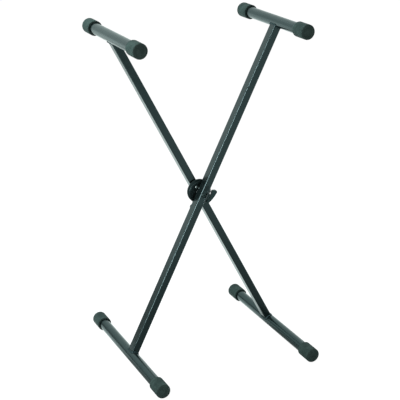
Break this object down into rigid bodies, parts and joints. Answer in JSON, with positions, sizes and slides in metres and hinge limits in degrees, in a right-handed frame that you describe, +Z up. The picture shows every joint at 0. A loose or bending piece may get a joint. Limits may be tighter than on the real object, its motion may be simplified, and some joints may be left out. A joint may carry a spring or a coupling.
{
  "type": "keyboard stand",
  "caption": "Folding X stand: crossed rectangular tube arms with round cross bars and rubber caps, held open by a notched disc and finger trigger.",
  "frame": {"origin": "on the floor under the pivot, midway between the two arms", "axes": "+Z up, +X right, towards the top of the front arm, -Y to the front, towards the bolt's head"},
  "size_m": [0.523, 0.517, 0.9737],
  "materials": {
    "black_paint": "gloss powder coat",
    "black_rubber": "matt",
    "black_zinc": "black zinc plated",
    "grip_plastic": "satin",
    "nylon": "satin"
  },
  "bodies": {
    "rear_frame": {"rear_arm": "black_paint", "upper_left_bar": "black_paint", "upper_left_cap_back": "black_rubber", "upper_left_cap_front": "black_rubber", "lower_right_bar": "black_paint", "lower_right_cap_back": "black_rubber", "lower_right_cap_front": "black_rubber", "rear_arm_sleeve": "black_zinc", "pivot_bolt": "black_zinc", "pivot_nut": "black_zinc", "pivot_spacer": "black_zinc", "locking_disc": "black_paint", "disc_rivet_upper": "black_zinc", "disc_rivet_lower": "black_zinc"},
    "front_frame": {"front_arm": "black_paint", "upper_right_bar": "black_paint", "upper_right_cap_front": "black_rubber", "upper_right_cap_back": "black_rubber", "lower_left_bar": "black_paint", "lower_left_cap_front": "black_rubber", "lower_left_cap_back": "black_rubber", "front_arm_sleeve": "black_zinc", "friction_washer": "nylon", "trigger_rivet": "black_zinc"},
    "trigger": {"trigger_lever": "black_zinc", "trigger_grip": "grip_plastic", "trigger_spring": "black_zinc"}
  },
  "joints": [
    {"name": "fold", "type": "hinge", "parent": "rear_frame", "child": "front_frame", "pos_m": [0, 0, 0.48063], "axis": [0, 1, 0], "range_deg": [-48, 48]},
    {"name": "trigger_pull", "type": "hinge", "parent": "front_frame", "child": "trigger", "pos_m": [-0.02134, 0, 0.43875], "axis": [0, 1, 0], "range_deg": [-3, 9], "stiffness_Nm_per_rad": 0.3, "springref_deg": -8.02}
  ]
}
